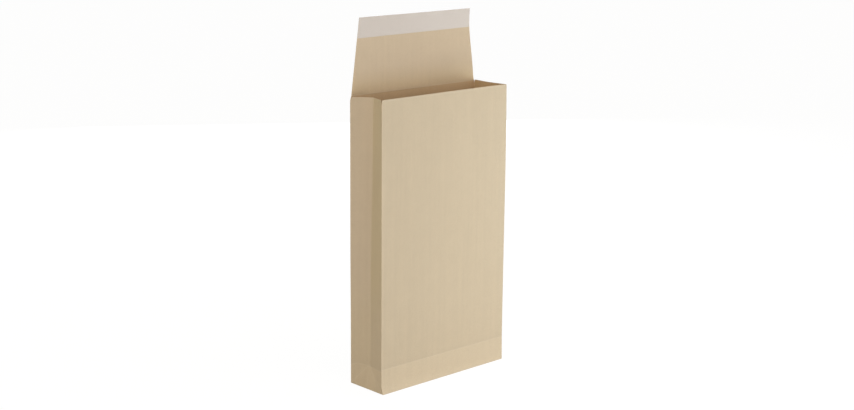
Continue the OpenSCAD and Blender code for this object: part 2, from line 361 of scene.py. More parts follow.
def flap_rows():
    """Rows up the flap, measured from its crease, with some at every edge of glue and liner."""
    even = range(FLAP_EVEN_START, int(LINER_LOW - BACK_TOP) - 2, FLAP_EVEN_STEP)
    free = np.array([*FLAP_STEPS, *even])
    steps = both_sides([GLUE_LOW, GLUE_HIGH], (LINER_STEP / 3, 2 * LINER_STEP / 3, LINER_STEP))
    band = [LINER_LOW, FREE_EDGE, *steps, *np.linspace(GLUE_LOW, GLUE_HIGH, GLUE_ROWS)]
    return spread([free, np.array(band) - BACK_TOP], 0.05)


def flap_points(base, length):
    """The open flap above its crease: the left side closes in evenly and the right one by a
    smooth step, after a short flare at its shoulder. The left side leans forward in a straight
    line, and the right side settles back before it curls forward as a fourth power."""
    share = length / FLAP_LENGTH
    leftward = (base[0, 0] - base[:, 0]) / (base[0, 0] - base[-1, 0])
    right_lean = FLAP_CURL * share ** 4 - FLAP_SAG * share
    lean = right_lean * (1 - leftward) + FLAP_LEAN * share * leftward
    calm = smooth_step(share / FLAP_CALM) * 4 * leftward * (1 - leftward)
    wave = BUCKLE * calm * slow_waves(base[:, 0], length, FLAP_SEED)
    score = SCORE_DEPTH * (1 - np.exp(-((length / SCORE_REACH) ** 2)))
    half = (base[0, 0] - base[-1, 0]) / 2
    right_taper = TAPER[0] * (1 - leftward) * smooth_step(share)
    narrow = 1 - (right_taper + TAPER[1] * leftward * share) / half
    middle = (base[0, 0] + base[-1, 0]) / 2
    near_side = (1 - leftward) ** FLARE_POWER
    flare = SHOULDER_FLARE * (1 - np.exp(-length / FLARE_REACH)) * near_side
    x = middle + (base[:, 0] - middle) * narrow - flare
    y = base[:, 1] - lean + wave + score
    z = BACK_TOP + length
    return np.stack(np.broadcast_arrays(x, y, z), -1), narrow


def bottom_flap_points(turned_in, s, inset):
    """The bottom flaps, out to an inset from the walls: the wide ones narrow at 45 degrees, and
    the back one comes down a layer where no tuck lies under it."""
    panel, _ = panel_share(s)
    run = inset - FOLD_RADIUS
    narrow = (HALF_WIDTH - inset) / (HALF_WIDTH - FOLD_RADIUS)
    points = turned_in - OUTWARD[panel] * run[..., None]
    wide = panel % 2 == 0
    points[..., 0] = np.where(wide, turned_in[:, 0] * narrow, points[..., 0])
    off_tuck = smooth_step((HALF_WIDTH - BOTTOM_FLAP - np.abs(points[..., 0])) / TUCK_END_RUN)
    level = FLAP_LEVELS[panel] - np.where(panel == BACK, PAPER, 0.0) * off_tuck
    points[..., 2] += (level - turned_in[:, 2]) * smooth_step(run / LEVEL_RUN)
    return points, np.where(wide, narrow, 1.0)


def grid_quads(rows, columns):
    """The corner numbers of every cell of a grid, counterclockwise from outside."""
    number = np.arange(rows * columns).reshape(rows, columns)
    return np.stack([number[:-1, :-1], number[:-1, 1:], number[1:, 1:], number[1:, :-1]], -1)


def point_normals(points, quads):
    """The mean direction of the quads round each point, weighted by their areas."""
    corners = points[quads]
    facing = np.cross(corners[:, 2] - corners[:, 0], corners[:, 3] - corners[:, 1])
    total = np.zeros_like(points)
    for k in range(4):
        np.add.at(total, quads[:, k], facing)
    return total / np.linalg.norm(total, axis=1, keepdims=True)


def thin_shell(grid, flat, out, thickness, cells=None):
    """A closed sheet of even thickness: its outer face lies a little out from the grid along the
    normals, its inner face one thickness under that, and a rim of quads runs along every open
    edge. cells says which of the grid's cells the sheet covers."""
    quads = grid_quads(*grid.shape[:2])
    quads = quads.reshape(-1, 4) if cells is None else quads[cells]
    used, quads = np.unique(quads, return_inverse=True)
    quads = quads.reshape(-1, 4)
    points, flat = grid.reshape(-1, 3)[used], flat.reshape(-1, 2)[used]
    normals = point_normals(points, quads)
    count = len(points)
    edges = np.concatenate([quads[:, [k, (k + 1) % 4]] for k in range(4)])
    open_edge = ~np.isin(edges @ [count, 1], edges @ [1, count])
    a, b = edges[open_edge].T
    rim = np.stack([b, a, a + count, b + count], 1)
    outer = points + normals * out
    points = np.concatenate([outer, outer - normals * thickness])
    faces = np.concatenate([quads, quads[:, ::-1] + count, rim])
    return points, faces, np.concatenate([flat, flat]), np.repeat([0.0, 1.0], count)


def join_shells(shells):
    """Several closed sheets as the arrays of one mesh."""
    starts = np.cumsum([0] + [len(points) for points, *_ in shells[:-1]])
    points, faces, flat, side = zip(*shells)
    faces = [part + start for part, start in zip(faces, starts)]
    return [np.concatenate(parts) for parts in (points, faces, flat, side)]


def body_grid():
    """The outer face of the walls, the flap and the four bottom flaps as one grid, with its flat
    coordinates, the cells that the sheet covers, and the flap's own part of the grid."""
    s = column_places()
    heights = row_heights()[:, None]
    share = np.clip((heights - FOLLOW_START) / (FRONT_TOP - FOLLOW_START), 0, 1)
    z = np.minimum(heights, FOLLOW_START) + share * (top_edge(s) - FOLLOW_START)
    walls = wall_points(s + 0 * z, z)
    on_flap = (s >= RIGHT_SHOULDER) & (s <= WIDTH - SHOULDER)
    score = SCORE_DEPTH * np.exp(-(((z - BACK_TOP) / SCORE_REACH) ** 2))
    walls[..., 1] -= np.where(on_flap, score, 0.0)

    # The lower edge turns in over a quarter circle, which is smaller at the corners so that its
    # rows don't cross there.
    along = np.gradient(walls[0, :, :2], axis=0)
    inward = np.stack([-along[:, 1], along[:, 0], 0 * s], -1)
    inward /= np.linalg.norm(inward, axis=1, keepdims=True)
    corners = np.append(PANEL_STARTS, SHEET_END)
    off_corner = np.abs(s[:, None] - corners).min(axis=1)
    open_turn = smooth_step(off_corner / FOLD_RADIUS / 2)[:, None]
    inward *= CORNER_TURN + (1 - CORNER_TURN) * open_turn
    turned = np.linspace(1, 0, TURN_ROWS, endpoint=False)[:, None]
    angle = math.pi / 2 * turned[..., None]
    turn = walls[0] + FOLD_RADIUS * ((1 - np.cos(angle)) * inward - np.sin(angle) * [0, 0, 1])

    inset = np.array(INSETS)[:, None]
    bottom, bottom_narrow = bottom_flap_points(turn[0], s, inset + 0 * s)
    length = flap_rows()[:, None]
    first, last = np.flatnonzero(on_flap)[[0, -1]]
    flap = np.zeros((len(length), len(s), 3))
    flap[:, first:last + 1], flap_narrow = flap_points(walls[-1, first:last + 1], length)
    grid = np.concatenate([bottom, turn, walls, flap])

    panel, _ = panel_share(s)
    middle = PANEL_STARTS[panel] + np.where(panel % 2 == 0, WIDTH, DEPTH) / 2
    narrow = np.ones(grid.shape[:2])
    narrow[:len(inset)] = bottom_narrow
    narrow[-len(length):, first:last + 1] = flap_narrow
    up = np.concatenate([-inset + 0 * s, FOLD_RADIUS * (1 - 2 * turned) + 0 * s, z,
                         BACK_TOP + length + 0 * s])
    flat = np.stack([middle + (s - middle) * narrow, up], -1)

    cells = np.ones((len(grid) - 1, len(s) - 1), bool)
    on_panel = (off_corner > CORNER_GAP) & (s > 0)
    cells[:len(inset)] = on_panel[:-1] & on_panel[1:] & (panel[:-1] == panel[1:])
    cells[-len(length):] = on_flap[:-1] & on_flap[1:]
    return grid, flat, cells, flap[:, first:last + 1]


def tuck_shell(side, front):
    """The triangular tuck at a bottom corner. Its rows run in from the slanting edge of the wide
    flap that it lies on, and at that edge it turns round by a half circle to meet the flap."""
    along = np.linspace(*TUCK_ENDS, TUCK_ROWS)[:, None]
    across = np.concatenate([np.linspace(1, 0, TUCK_COLUMNS), np.zeros(HEM_COLUMNS)])
    angle = np.concatenate([np.full(TUCK_COLUMNS, math.pi / 2),
                            np.linspace(math.pi / 3, -math.pi / 2, HEM_COLUMNS)])
    half = PAPER / 2
    out = half * np.cos(angle) * math.sqrt(0.5)
    x = HALF_WIDTH - BOTTOM_FLAP * (along + across * (1 - along)) + out
    y = HALF_DEPTH - BOTTOM_FLAP * along - out
    flap_level = FLAP_LEVELS[FRONT if front < 0 else BACK]
    z = flap_level + 2 * half + half * np.sin(angle) + 0 * x
    grid = np.stack([side * x, front * y, z], -1)
    flat = np.stack([x, y - HALF_DEPTH], -1)
    hem = TUCK_PLAY * half
    return thin_shell(grid, flat, hem, 2 * hem)


def flap_film(flap, low, high, at_margins, on_glue, thickness, tilt=(0.0, 0.0)):
    """A film on the flap's inner face between two heights, with its outer side to the flap. It
    lies at one depth from the flap's outer face along its margins and at another on the glue.
    The tilt shifts its low edge, in a line from the right end to the left."""
    z = flap[:, :1, 2]
    band = (z[:, 0] > low - FILM_PLAY) & (z[:, 0] < high + FILM_PLAY)
    raised = smooth_step((z - GLUE_LOW) / LINER_STEP + 1)
    raised = raised * smooth_step((GLUE_HIGH - z) / LINER_STEP + 1)
    grid = flap.copy()
    grid[..., 1] -= at_margins + (on_glue - at_margins) * raised
    grid = grid[band]
    grid[0, :, 2] += np.interp(-grid[0, :, 0], [-grid[0, 0, 0], -grid[0, -1, 0]], tilt)
    return thin_shell(grid, grid[..., [0, 2]], 0.0, thickness)


def lay_mesh(name, shell, material, node):
    """Puts a shell into a piece that stands for a node, in metres, with its flat coordinates as a
    UV map and the attribute side, which is 0 on the outer face and 1 on the inner one."""
    points, faces, flat, side = shell
    mesh = bpy.data.meshes.new(name)
    mesh.from_pydata(points * MM, [], faces)
    mesh.uv_layers.new(name="flat").data.foreach_set("uv", (flat[faces.ravel()] * MM).ravel())
    mesh.attributes.new("side", "FLOAT", "POINT").data.foreach_set("value", side)
    mesh.shade_smooth()
    mesh.set_sharp_from_angle(angle=SHARP_ANGLE)
    mesh.materials.append(material)
    piece = bpy.data.objects.new(name, mesh)
    bpy.context.scene.collection.objects.link(piece)
    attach(piece, "root")
    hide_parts(node)
    return piece


def linear(red, green, blue):
    """A colour in eight-bit display values as the linear values that shaders take."""
    value = np.array([red, green, blue]) / 255
    curve = np.where(value <= 0.04045, value / 12.92, ((value + 0.055) / 1.055) ** 2.4)
    return (*curve, 1.0)


# The body's inside colour is kraft with painted warm bounce light, and the flap's inner face is
# warmer at its base by painted bounce light.
KRAFT_OUTSIDE, KRAFT_INSIDE_WITH_PAINTED_BOUNCE = linear(206, 189, 161), linear(209, 181, 142)
FLAP_BASE_WITH_PAINTED_BOUNCE, FLAP_TOP = linear(209, 187, 152), linear(206, 186, 158)
DARK_FIBRE, PALE_FIBRE = linear(166, 138, 102), linear(226, 212, 188)
# The rubbed kraft colour on fold lines is partly real rubbing and partly a painted highlight.
RUBBED_AND_HIGHLIT_KRAFT, CUT_KRAFT = linear(224, 210, 190), linear(222, 206, 180)
LINER_COLOURS = linear(199, 188, 178), linear(205, 194, 184)
LINER_FIBRE, CUT_LINER = linear(216, 207, 199), linear(228, 222, 215)
GLUE_COLOURS = linear(222, 211, 184), linear(236, 228, 206)
GLUE_RIM = linear(205, 190, 156)

# Painted light and shade: what each zone of the kraft paper adds to its tone, as a share of its
# colour. On the flap the first value is for its left side and the second for its right one.
UNDER_CREASE, OVER_CREASE, LOW_WALL, NEAR_MOUTH = 0.027, -0.026, -0.013, -0.015
FRONT_LEFT_SIDE, FRONT_RIGHT_SIDE, FRONT_FOLD = -0.02, 0.008, 0.045
GUSSET_BEND, GUSSET_FOOT, FOOT_IN_FRONT, FOOT_POCKET = 0.06, -0.024, 0.04, 0.035
FLAP_SIDES = (0.03, -0.045)
FLAP_CORNER_SHADOW, FLAP_CREASE_SHADOW = -0.09, -0.07

# A painted tint of light on the left gusset: what its blue gains behind its middle and loses from
# there to the front
BLUE_BEHIND, BLUE_LOSS = 0.045, -0.11


def put(tree, kind, sockets=None, **settings):
    """Adds a shader node, makes its settings, and feeds its inputs with values or outputs."""
    node = tree.nodes.new("ShaderNode" + kind)
    for key, value in settings.items():
        setattr(node, key, value)
    for key, value in (sockets or {}).items():
        if isinstance(value, bpy.types.NodeSocket):
            tree.links.new(value, node.inputs[key])
        else:
            node.inputs[key].default_value = value
    return node


def calc(tree, operation, *values):
    """The output of a Math node."""
    return put(tree, "Math", dict(enumerate(values)), operation=operation).outputs[0]


def sum_up(tree, start, *terms):
    """The start with every value added after it was multiplied by its weight."""
    for value, weight in terms:
        start = calc(tree, "MULTIPLY_ADD", value, weight, start)
    return start


def remap(tree, value, start, end, low=0.0, high=1.0):
    """A value carried from one range to another by a smooth step."""
    sockets = {"Value": value, "From Min": start, "From Max": end, "To Min": low, "To Max": high}
    return put(tree, "MapRange", sockets, interpolation_type="SMOOTHSTEP").outputs["Result"]


def zone(tree, *stretches):
    """How far a place lies in a zone, as the product of smooth steps, each of them given as a
    value and where it starts and ends."""
    share = 1.0
    for value, start, end in stretches:
        share = calc(tree, "MULTIPLY", share, remap(tree, value, start, end))
    return share


def tint(tree, share, under, over, blend="MIX"):
    """One colour laid over another by a share."""
    node = put(tree, "Mix", data_type="RGBA", blend_type=blend)
    for key, value in (("Factor_Float", share), ("A_Color", under), ("B_Color", over)):
        socket = next(i for i in node.inputs if i.identifier == key)
        if isinstance(value, bpy.types.NodeSocket):
            tree.links.new(value, socket)
        else:
            socket.default_value = value
    return next(o for o in node.outputs if o.identifier == "Result_Color")


def shade(tree, colour, tone):
    """A colour made lighter or darker by a tone round 1."""
    grey = put(tree, "CombineXYZ", {"X": tone, "Y": tone, "Z": tone}).outputs[0]
    return tint(tree, 1.0, colour, grey, "MULTIPLY")


def effect(name, inputs, outputs):
    """Starts a node group with inputs given as name: default and float outputs. A default of None
    makes a vector input."""
    group = bpy.data.node_groups.new(name, "ShaderNodeTree")
    for label, default in inputs.items():
        kind = "NodeSocketVector" if default is None else "NodeSocketFloat"
        socket = group.interface.new_socket(label, in_out="INPUT", socket_type=kind)
        if default is not None:
            socket.default_value = default
    for label in outputs:
        group.interface.new_socket(label, in_out="OUTPUT", socket_type="NodeSocketFloat")
    given = group.nodes.new("NodeGroupInput").outputs
    result = group.nodes.new("NodeGroupOutput").inputs
    return group, given, result


def use(tree, group, **sockets):
    """Places a node group in a material, with its own values."""
    node = put(tree, "Group", node_tree=group)
    for key, value in sockets.items():
        socket = node.inputs[key.replace("_", " ")]
        if isinstance(value, bpy.types.NodeSocket):
            tree.links.new(value, socket)
        else:
            socket.default_value = value
    return node.outputs


def paper_clouds():
    """Pulp that settled unevenly: soft noise at one size and again at a fifth of it."""
    group, given, result = effect("paper clouds", {"Flat": None, "Size": 20.0}, ["Cloud"])
    total = 0.0
    for size_share, weight in ((1.0, 0.6), (0.2, 0.4)):
        scale = calc(group, "DIVIDE", 1 / size_share, given["Size"])
        noise = put(group, "TexNoise", {"Vector": given["Flat"], "Scale": scale, "Detail": 2.0})
        total = sum_up(group, total, (noise.outputs["Fac"], weight))
    group.links.new(sum_up(group, -1.0, (total, 2.0)), result["Cloud"])
    return group


# Where pulp_fibres() cuts its noise off: at no cover, how much less at full cover, and how far
# above that a fibre is whole. Then the directions of the fibres, in degrees.
FIBRE_CUT, COVER_CUT, FIBRE_RISE = 0.86, 0.25, 0.08
FIBRE_TURNS = (4, -16, 31, -52)


def pulp_fibres():
    """Short fibres: noise drawn out along four directions near the running one, cut off so that
    only its crests stay."""
    group, given, result = effect(
        "pulp fibres", {"Flat": None, "Width": 0.12, "Length": 1.6, "Cover": 0.5, "Shift": 0.0},
        ["Fibre"])
    across = calc(group, "DIVIDE", 1.0, given["Width"])
    down = calc(group, "DIVIDE", 1.0, given["Length"])
    scale = put(group, "CombineXYZ", {"X": across, "Y": down, "Z": 1.0}).outputs[0]
    start = sum_up(group, FIBRE_CUT, (given["Cover"], -COVER_CUT))
    end = calc(group, "ADD", start, FIBRE_RISE)
    fibre = 0.0
    for number, turn in enumerate(FIBRE_TURNS):
        place = put(group, "CombineXYZ", {"Z": calc(group, "ADD", given["Shift"], 7.0 * number)})
        turned = put(group, "VectorRotate",
                     {"Vector": given["Flat"], "Angle": math.radians(turn)},
                     rotation_type="Z_AXIS").outputs[0]
        drawn = put(group, "VectorMath", {0: turned, 1: scale}, operation="MULTIPLY").outputs[0]
        moved = put(group, "VectorMath", {0: drawn, 1: place.outputs[0]}, operation="ADD")
        noise = put(group, "TexNoise", {"Vector": moved.outputs[0], "Scale": 1.0, "Detail": 0.0})
        fibre = calc(group, "MAXIMUM", fibre, remap(group, noise.outputs["Fac"], start, end))
    group.links.new(fibre, result["Fibre"])
    return group


def machine_ribs():
    """Fine ribs that run up the sheet, as a sine with a wandering phase, and slow streaks of
    noise drawn out along it."""
    group, given, result = effect("machine ribs", {"Flat": None, "Pitch": 0.9, "Streak": 7.0},
                                  ["Rib", "Streaks"])
    parts = put(group, "SeparateXYZ", {0: given["Flat"]}).outputs
    wander = put(group, "TexNoise", {"Vector": given["Flat"], "Scale": 0.05, "Detail": 1.0})
    turns = calc(group, "DIVIDE", parts["X"], given["Pitch"])
    turns = sum_up(group, turns, (wander.outputs["Fac"], 3.0))
    group.links.new(calc(group, "SINE", calc(group, "MULTIPLY", turns, 2 * math.pi)),
                    result["Rib"])
    x = calc(group, "DIVIDE", parts["X"], given["Streak"])
    y = calc(group, "DIVIDE", parts["Y"], calc(group, "MULTIPLY", given["Streak"], 40.0))
    drawn = put(group, "CombineXYZ", {"X": x, "Y": y}).outputs[0]
    noise = put(group, "TexNoise", {"Vector": drawn, "Scale": 1.0, "Detail": 3.0})
    group.links.new(sum_up(group, -1.0, (noise.outputs["Fac"], 2.0)), result["Streaks"])
    return group


# How much lower the pre-crease's line runs on the gussets, and how much more it drops within a
# reach of the back folds
LINE_DIP, BACK_DIP, BACK_DIP_REACH = 2.5, 4.5, 14.0


def fold_lines_and_shade_masks():
    """Fold lines, partly rubbed and partly painted highlights, by the distance in the flat sheet
    to
    the nearest one: the upright folds, the gussets' middles and 45-degree creases, the pre-crease,
    the bottom and the flap's crease. On the gussets the pre-crease runs a little lower, most of
    all near the back. Below, Foot and Pocket are masks for painted light and shade: Below is 1
    under it, Foot is 1 there on the gussets alone, and Pocket on the part of a gusset that its
    rear
    45-degree crease opens."""
    group, given, result = effect(
        "fold lines and shade masks", {"Flat": None, "Panel": WIDTH, "Gusset": DEPTH, "Mouth": BACK_TOP,
                      "Reach": 0.8}, ["Fold", "Crease", "Below", "Foot", "Pocket"])
    parts = put(group, "SeparateXYZ", {0: given["Flat"]}).outputs
    z = parts["Y"]
    pair = calc(group, "ADD", given["Panel"], given["Gusset"])
    place = calc(group, "FLOORED_MODULO", parts["X"], pair)
    in_gusset = calc(group, "SUBTRACT", place, given["Panel"])
    rest = calc(group, "SUBTRACT", given["Gusset"], in_gusset)
    half_depth = calc(group, "MULTIPLY", given["Gusset"], 0.5)
    upright = calc(group, "MINIMUM", place, calc(group, "ABSOLUTE", in_gusset))
    upright = calc(group, "MINIMUM", upright, calc(group, "ABSOLUTE", rest))
    fold = calc(group, "MINIMUM", upright, calc(group, "ABSOLUTE", z))
    middle = calc(group, "ABSOLUTE", calc(group, "SUBTRACT", in_gusset, half_depth))
    nearer = calc(group, "MINIMUM", in_gusset, rest)
    slant = calc(group, "ABSOLUTE", calc(group, "SUBTRACT", nearer, z))
    slant = calc(group, "MULTIPLY", slant, math.sqrt(0.5))
    on_gusset = remap(group, in_gusset, 0.0, 0.5)
    to_back = calc(group, "MULTIPLY_ADD", calc(group, "LESS_THAN", parts["X"], pair),
                   calc(group, "SUBTRACT", in_gusset, rest), rest)
    dip = sum_up(group, LINE_DIP, (remap(group, to_back, BACK_DIP_REACH, 0.0), BACK_DIP))
    line = calc(group, "SUBTRACT", half_depth, calc(group, "MULTIPLY", on_gusset, dip))
    over_line = calc(group, "SUBTRACT", z, line)
    below = remap(group, over_line, 0.6, -0.8)
    group.links.new(below, result["Below"])
    under_slant = calc(group, "SUBTRACT", to_back, z)
    pocket = zone(group, (under_slant, -4.0, 6.0), (to_back, 60.0, 54.0))
    foot = calc(group, "MULTIPLY", below, on_gusset)
    group.links.new(foot, result["Foot"])
    group.links.new(calc(group, "MULTIPLY", pocket, foot), result["Pocket"])
    cross = calc(group, "ABSOLUTE", over_line)
    mouth = calc(group, "ABSOLUTE", calc(group, "SUBTRACT", z, given["Mouth"]))
    crease = calc(group, "MINIMUM", calc(group, "MINIMUM", middle, slant),
                  calc(group, "MINIMUM", cross, mouth))
    noise = put(group, "TexNoise", {"Vector": given["Flat"], "Scale": 0.5, "Detail": 3.0})
    ragged = calc(group, "MULTIPLY", noise.outputs["Fac"], 0.8)
    for distance, label in ((fold, "Fold"), (crease, "Crease")):
        reached = calc(group, "DIVIDE", calc(group, "ADD", distance, ragged), given["Reach"])
        group.links.new(remap(group, reached, 1.6, 0.2), result[label])
    return group


def cut_edge():
    """The rim between the two faces, where the attribute side passes from 0 to 1."""
    group, given, result = effect("cut edge", {"Side": 0.0}, ["Edge"])
    other = calc(group, "SUBTRACT", 1.0, given["Side"])
    product = calc(group, "MULTIPLY", given["Side"], other)
    group.links.new(remap(group, product, 0.02, 0.12), result["Edge"])
    return group


CLOUDS, FIBRES, RIBS, FOLD_LINES_AND_SHADE_MASKS, EDGE = (
    paper_clouds(), pulp_fibres(), machine_ribs(), fold_lines_and_shade_masks(), cut_edge())


def start_material(name):
    """A material with its node tree, its Principled shader, the flat coordinates in millimetres
    and the side of the sheet."""
    material = bpy.data.materials.new(name)
    material.use_nodes = True
    tree = material.node_tree
    shader = tree.nodes["Principled BSDF"]
    flat = put(tree, "UVMap", uv_map="flat").outputs[0]
    flat = put(tree, "VectorMath", {0: flat, "Scale": 1 / MM}, operation="SCALE").outputs[0]
    side = put(tree, "Attribute", attribute_name="side").outputs["Fac"]
    return material, tree, shader, flat, side


def bump(tree, shader, height, distance, strength):
    """Feeds the shader's normal with a height in units of a distance, which is in millimetres."""
    sockets = {"Height": height, "Distance": distance * MM, "Strength": strength}
    tree.links.new(put(tree, "Bump", sockets).outputs[0], shader.inputs["Normal"])


def inner_face(tree, along, height):
    """The sheet's inner face: redder in the body by painted warm bounce light, with a painted
    shadow line along the flap's crease. Near that crease the flap is warmer by painted bounce
    light, with painted shade on its right and painted light on its left, apart from a painted
    shadow in the corner there."""
    # A painted shadow line along the flap's crease, inside the body.
    off_crease = calc(tree, "ABSOLUTE", calc(tree, "SUBTRACT", height, BACK_TOP - 1))
    line = zone(tree, (off_crease, 1.8, 0.4), (along, 80.0, 115.0))
    body = shade(tree, KRAFT_INSIDE_WITH_PAINTED_BOUNCE, sum_up(tree, 1.0, (line, FLAP_CREASE_SHADOW)))

    raised = remap(tree, height, BACK_TOP + 4, BACK_TOP + 42)
    low = remap(tree, height, BACK_TOP + 62, BACK_TOP + 32)
    # Painted shade in the flap's left corner and on its right near its crease, painted light on
    # its left.
    corner = zone(tree, (along, 205.0, 235.0), (height, BACK_TOP + 9, BACK_TOP + 2))
    sides = remap(tree, along, 50.0, 120.0, FLAP_SIDES[1], FLAP_SIDES[0])
    tone = sum_up(tree, 1.0, (sides, low), (corner, FLAP_CORNER_SHADOW))
    flap = shade(tree, tint(tree, raised, FLAP_BASE_WITH_PAINTED_BOUNCE, FLAP_TOP), tone)
    return tint(tree, remap(tree, height, BACK_TOP - 1, BACK_TOP + 1), body, flap)


def outer_face(tree, along, height, fold_and_shade_masks):
    """The sheet's outer face, with painted light and shade. It is lighter under the pre-crease and
    on the front's right, and darker over the pre-crease, towards the mouth and on the front's
    left, apart from a painted highlight beside the fold there. The gussets' feet get painted
    shade, less of it beyond the left gusset's middle, and painted light where a rear 45-degree
    crease opens.
    The left gusset has painted light at its middle towards the mouth, and a painted tint of light,
    a little bluer behind its middle and yellower in front of it."""
    front = float(PANEL_STARTS[FRONT])
    middle = front - HALF_DEPTH
    under = fold_and_shade_masks["Below"]
    over = calc(tree, "SUBTRACT", remap(tree, height, CREASE + 13, CREASE + 1), under)
    low = calc(tree, "SUBTRACT", remap(tree, height, CREASE + 110, CREASE + 15), under)
    mouth = remap(tree, height, FRONT_TOP - 120, FRONT_TOP - 30)
    left = zone(tree, (along, front + 1, front + 8), (along, front + 150, front + 30))
    left = calc(tree, "MULTIPLY", left, calc(tree, "SUBTRACT", 1.0, under))
    right = remap(tree, along, front + 90, front + 160)
    # A painted highlight beside the front left fold, in its lower part.
    fold = zone(tree, (along, front + 6, front + 2), (along, front - 1, front + 0.5),
                (height, 380.0, 280.0))
    bent = zone(tree, (along, middle - 24, middle - 2), (along, front - 1, front - 20),
                (height, BACK_TOP - 105, BACK_TOP - 50))
    in_front = remap(tree, along, middle - 3, middle + 3)
    front_foot = calc(tree, "MULTIPLY", fold_and_shade_masks["Foot"], in_front)
    # Painted light and shade, zone by zone.
    tone = sum_up(tree, 1.0, (under, UNDER_CREASE), (over, OVER_CREASE), (low, LOW_WALL),
                  (mouth, NEAR_MOUTH), (left, FRONT_LEFT_SIDE), (right, FRONT_RIGHT_SIDE),
                  (fold, FRONT_FOLD), (bent, GUSSET_BEND), (fold_and_shade_masks["Foot"], GUSSET_FOOT),
                  (front_foot, FOOT_IN_FRONT), (fold_and_shade_masks["Pocket"], FOOT_POCKET))

    # A painted tint of light on the left gusset, above the pre-crease.
    on_left = calc(tree, "MULTIPLY", calc(tree, "GREATER_THAN", along, middle - HALF_DEPTH),
                   calc(tree, "LESS_THAN", along, front))
    on_left = calc(tree, "MULTIPLY", on_left, remap(tree, height, CREASE + 40, CREASE + 150))
    blue = sum_up(tree, 1.0, (on_left, sum_up(tree, BLUE_BEHIND, (in_front, BLUE_LOSS))))
    hue = put(tree, "CombineXYZ", {"X": 1.0, "Y": 1.0, "Z": blue}).outputs[0]
    return tint(tree, 1.0, shade(tree, KRAFT_OUTSIDE, tone), hue, "MULTIPLY")


def kraft_paper():
    """Unbleached kraft: smooth and ribbed outside, rougher inside and a little redder there by
    painted warm bounce light, with painted light and shade in zones on both faces, clouds,
    streaks, dark and pale fibres, fold lines that are partly rubbed and partly painted highlights,
    and pale cut edges."""
    material, tree, shader, flat, side = start_material("kraft paper")
    parts = put(tree, "SeparateXYZ", {0: flat}).outputs
    cloud = use(tree, CLOUDS, Flat=flat, Size=22.0)["Cloud"]
    ribs = use(tree, RIBS, Flat=flat, Pitch=0.9, Streak=6.0)
    fold_and_shade_masks = use(tree, FOLD_LINES_AND_SHADE_MASKS, Flat=flat, Reach=0.9)
    colour = tint(tree, side, outer_face(tree, parts["X"], parts["Y"], fold_and_shade_masks),
                  inner_face(tree, parts["X"], parts["Y"]))
    tone = sum_up(tree, 1.0, (cloud, 0.05), (ribs["Streaks"], 0.05), (ribs["Rib"], 0.008))
    colour = shade(tree, colour, tone)
    dark = use(tree, FIBRES, Flat=flat, Width=0.13, Length=1.7, Cover=0.7)["Fibre"]
    pale = use(tree, FIBRES, Flat=flat, Width=0.16, Length=2.3, Cover=0.6, Shift=40.0)["Fibre"]
    colour = tint(tree, calc(tree, "MULTIPLY", dark, 0.4), colour, DARK_FIBRE)
    colour = tint(tree, calc(tree, "MULTIPLY", pale, 0.45), colour, PALE_FIBRE)
    # Fold lines paler by rubbing and by a painted highlight, more of it under the pre-crease.
    crease_rub_and_highlight = sum_up(tree, 0.25, (fold_and_shade_masks["Below"], 0.2))
    rubbed_and_highlit = sum_up(tree, 0.0, (fold_and_shade_masks["Fold"], 0.3), (fold_and_shade_masks["Crease"], crease_rub_and_highlight))
    colour = tint(tree, rubbed_and_highlit, colour, RUBBED_AND_HIGHLIT_KRAFT)
    edge = use(tree, EDGE, Side=side)["Edge"]
    colour = tint(tree, calc(tree, "MULTIPLY", edge, 0.6), colour, CUT_KRAFT)
    tree.links.new(colour, shader.inputs["Base Color"])
    rough = remap(tree, side, 0.0, 1.0, 0.68, 0.84)
    tree.links.new(sum_up(tree, rough, (rubbed_and_highlit, 0.3)), shader.inputs["Roughness"])
    shader.inputs["Specular IOR Level"].default_value = 0.3
    bump(tree, shader, sum_up(tree, pale, (ribs["Rib"], 0.3), (cloud, 1.5)), 0.02, 0.5)
    return material


def liner_paper():
    """Siliconed liner: pale, slightly pink and half glossy, with faint clouds and few fibres."""
    material, tree, shader, flat, side = start_material("liner paper")
    cloud = use(tree, CLOUDS, Flat=flat, Size=9.0)["Cloud"]
    fibre = use(tree, FIBRES, Flat=flat, Width=0.2, Length=2.4, Cover=0.55)["Fibre"]
    colour = tint(tree, sum_up(tree, 0.5, (cloud, 0.5)), *LINER_COLOURS)
    colour = tint(tree, calc(tree, "MULTIPLY", fibre, 0.35), colour, LINER_FIBRE)
    edge = use(tree, EDGE, Side=side)["Edge"]
    colour = tint(tree, calc(tree, "MULTIPLY", edge, 0.7), colour, CUT_LINER)
    tree.links.new(colour, shader.inputs["Base Color"])
    tree.links.new(sum_up(tree, 0.42, (cloud, 0.08)), shader.inputs["Roughness"])
    shader.inputs["Specular IOR Level"].default_value = 0.35
    bump(tree, shader, calc(tree, "ADD", cloud, fibre), 0.03, 0.4)
    return material


def glue_film():
    """Pressure-sensitive glue: a pale yellowish film with an even shine and small ripples."""
    material, tree, shader, flat, side = start_material("glue film")
    cloud = use(tree, CLOUDS, Flat=flat, Size=3.0)["Cloud"]
    edge = use(tree, EDGE, Side=side)["Edge"]
    colour = tint(tree, sum_up(tree, 0.5, (cloud, 0.5)), *GLUE_COLOURS)
    colour = tint(tree, calc(tree, "MULTIPLY", edge, 0.5), colour, GLUE_RIM)
    tree.links.new(colour, shader.inputs["Base Color"])
    tree.links.new(sum_up(tree, 0.3, (cloud, 0.1)), shader.inputs["Roughness"])
    bump(tree, shader, cloud, 0.05, 0.5)
    return material


